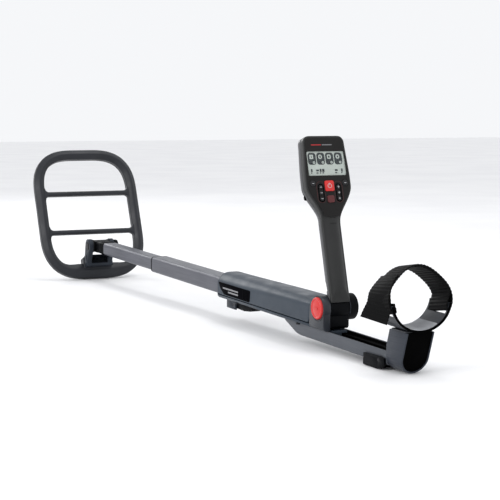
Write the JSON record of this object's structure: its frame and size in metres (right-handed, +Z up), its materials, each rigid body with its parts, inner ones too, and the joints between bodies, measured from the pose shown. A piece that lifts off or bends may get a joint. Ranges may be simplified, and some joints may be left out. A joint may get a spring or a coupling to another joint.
{
  "type": "metal detector",
  "caption": "Hand-held metal detector: framed search coil on a telescoping shaft, folding handle with display pod, sliding forearm rest with a webbing strap.",
  "frame": {"origin": "centre of the footprint box on the surface that the coil edge and the armrest lever stand on", "axes": "+X along the shaft from coil to armrest, +Y to the right of a user who holds it, +Z up"},
  "size_m": [1.2107, 0.203, 0.2801],
  "materials": {
    "coil_plastic": "fine-textured moulded plastic",
    "copper": "enamelled winding wire",
    "dark_plastic": "moulded nylon",
    "steel": "zinc plated",
    "rubber": "matt",
    "grey_tube": "satin anodised",
    "slate_plastic": "satin moulded plastic",
    "badge_black": "gloss",
    "red_plastic": "satin red",
    "dim_red": "satin",
    "pod_black": "soft-touch",
    "shell_grey": "satin",
    "window": "clear",
    "lcd": "grey-green liquid crystal",
    "board": "solder mask",
    "cell": "printed jacket",
    "webbing": "ribbed webbing"
  },
  "bodies": {
    "main_body": {"body_cover": "slate_plastic", "body_belly": "slate_plastic", "body_front_ring": "slate_plastic", "side_badges": "badge_black", "hinge_housing": "slate_plastic", "cam_bracket": "slate_plastic", "cam_clamp_pad": "rubber", "cam_pin": "steel", "pivot_pin": "steel", "pivot_cap": "dark_plastic", "button_spring": "steel", "body_screws": "steel"},
    "middle_shaft": {"middle_shaft_tube": "grey_tube", "middle_shaft_collar": "dark_plastic", "middle_shaft_glide": "dark_plastic"},
    "lower_shaft": {"lower_shaft_tube": "grey_tube", "lower_shaft_glide": "dark_plastic", "shaft_tip": "dark_plastic"},
    "coil": {"coil_upper_shell": "coil_plastic", "coil_lower_shell": "coil_plastic", "coil_winding": "copper", "coil_bracket": "dark_plastic", "coil_bolt": "steel", "coil_washers": "rubber"},
    "coil_knob": {"coil_knob": "dark_plastic"},
    "cam_lever": {"cam_lever": "dark_plastic"},
    "release_button": {"release_button": "red_plastic"},
    "handle": {"handle_rear_shell": "pod_black", "handle_front_shell": "shell_grey", "handle_base": "dark_plastic", "pod_face": "pod_black", "keypad_mat": "rubber", "display_window": "window", "display_panel": "lcd", "circuit_board": "board", "speaker": "steel", "battery_cells": "cell", "headphone_socket": "dark_plastic", "handle_screws": "steel"},
    "battery_cover": {"battery_cover": "dark_plastic"},
    "armrest": {"armrest_rail": "grey_tube", "rail_liner": "dark_plastic", "armrest_pedestal": "slate_plastic", "pedestal_core": "dark_plastic", "armrest_cuff": "slate_plastic", "arm_strap": "webbing", "lever_pin": "steel", "armrest_screws": "steel"},
    "armrest_lever": {"armrest_lever": "dark_plastic"},
    "key_power": {"key_power": "red_plastic"},
    "key_light": {"key_light": "rubber"},
    "key_pinpoint": {"key_pinpoint": "dim_red"},
    "key_mode": {"key_mode": "rubber"},
    "key_left_top": {"key_left_top": "rubber"},
    "key_left_middle": {"key_left_middle": "rubber"},
    "key_left_bottom": {"key_left_bottom": "rubber"},
    "key_right_top": {"key_right_top": "rubber"},
    "key_right_middle": {"key_right_middle": "rubber"},
    "key_right_bottom": {"key_right_bottom": "rubber"}
  },
  "joints": [
    {"name": "middle_shaft_slide", "type": "slide", "parent": "main_body", "child": "middle_shaft", "axis": [0.9997, 0, -0.0228], "range_m": [0, 0.228]},
    {"name": "lower_shaft_slide", "type": "slide", "parent": "middle_shaft", "child": "lower_shaft", "axis": [0.9997, 0, -0.0228], "range_m": [0, 0.24]},
    {"name": "coil_tilt", "type": "hinge", "parent": "lower_shaft", "child": "coil", "pos_m": [-0.4955, 0, 0.06413], "axis": [0, 1, 0], "range_deg": [-67.7, 102]},
    {"name": "coil_knob_turn", "type": "hinge", "parent": "coil", "child": "coil_knob", "pos_m": [-0.4955, 0.00003, 0.06413], "axis": [0, 1, 0], "continuous": true},
    {"name": "handle_fold", "type": "hinge", "parent": "main_body", "child": "handle", "pos_m": [0.39608, 0, 0.05731], "axis": [0, 1, 0], "range_deg": [-62, 0]},
    {"name": "release_button_press", "type": "slide", "parent": "main_body", "child": "release_button", "axis": [0, 1, 0], "range_m": [0, 0.0035], "stiffness_N_per_m": 1500, "springref_m": -0.001, "deforming": ["button_spring"]},
    {"name": "cam_lever_turn", "type": "hinge", "parent": "main_body", "child": "cam_lever", "pos_m": [0.1098, 0, 0.02632], "axis": [0, 1, 0], "range_deg": [0, 90]},
    {"name": "armrest_slide", "type": "slide", "parent": "main_body", "child": "armrest", "axis": [-0.9997, 0, 0.0228], "range_m": [0, 0.11]},
    {"name": "armrest_lever_turn", "type": "hinge", "parent": "armrest", "child": "armrest_lever", "pos_m": [0.53957, 0, 0.01153], "axis": [0, -1, 0], "range_deg": [0, 80]},
    {"name": "battery_cover_slide", "type": "slide", "parent": "handle", "child": "battery_cover", "axis": [0.2537, 0, -0.9673], "range_m": [0, 0.04]},
    {"name": "key_power_press", "type": "slide", "parent": "handle", "child": "key_power", "axis": [-0.9673, 0, -0.2537], "range_m": [0, 0.0008], "stiffness_N_per_m": 900, "springref_m": -0.0006},
    {"name": "key_light_press", "type": "slide", "parent": "handle", "child": "key_light", "axis": [-0.9673, 0, -0.2537], "range_m": [0, 0.0008], "stiffness_N_per_m": 900, "springref_m": -0.0006},
    {"name": "key_pinpoint_press", "type": "slide", "parent": "handle", "child": "key_pinpoint", "axis": [-0.9673, 0, -0.2537], "range_m": [0, 0.0008], "stiffness_N_per_m": 900, "springref_m": -0.0006},
    {"name": "key_mode_press", "type": "slide", "parent": "handle", "child": "key_mode", "axis": [-0.9673, 0, -0.2537], "range_m": [0, 0.0008], "stiffness_N_per_m": 900, "springref_m": -0.0006},
    {"name": "key_left_top_press", "type": "slide", "parent": "handle", "child": "key_left_top", "axis": [-0.9673, 0, -0.2537], "range_m": [0, 0.0008], "stiffness_N_per_m": 900, "springref_m": -0.0006},
    {"name": "key_left_middle_press", "type": "slide", "parent": "handle", "child": "key_left_middle", "axis": [-0.9673, 0, -0.2537], "range_m": [0, 0.0008], "stiffness_N_per_m": 900, "springref_m": -0.0006},
    {"name": "key_left_bottom_press", "type": "slide", "parent": "handle", "child": "key_left_bottom", "axis": [-0.9673, 0, -0.2537], "range_m": [0, 0.0008], "stiffness_N_per_m": 900, "springref_m": -0.0006},
    {"name": "key_right_top_press", "type": "slide", "parent": "handle", "child": "key_right_top", "axis": [-0.9673, 0, -0.2537], "range_m": [0, 0.0008], "stiffness_N_per_m": 900, "springref_m": -0.0006},
    {"name": "key_right_middle_press", "type": "slide", "parent": "handle", "child": "key_right_middle", "axis": [-0.9673, 0, -0.2537], "range_m": [0, 0.0008], "stiffness_N_per_m": 900, "springref_m": -0.0006},
    {"name": "key_right_bottom_press", "type": "slide", "parent": "handle", "child": "key_right_bottom", "axis": [-0.9673, 0, -0.2537], "range_m": [0, 0.0008], "stiffness_N_per_m": 900, "springref_m": -0.0006}
  ]
}
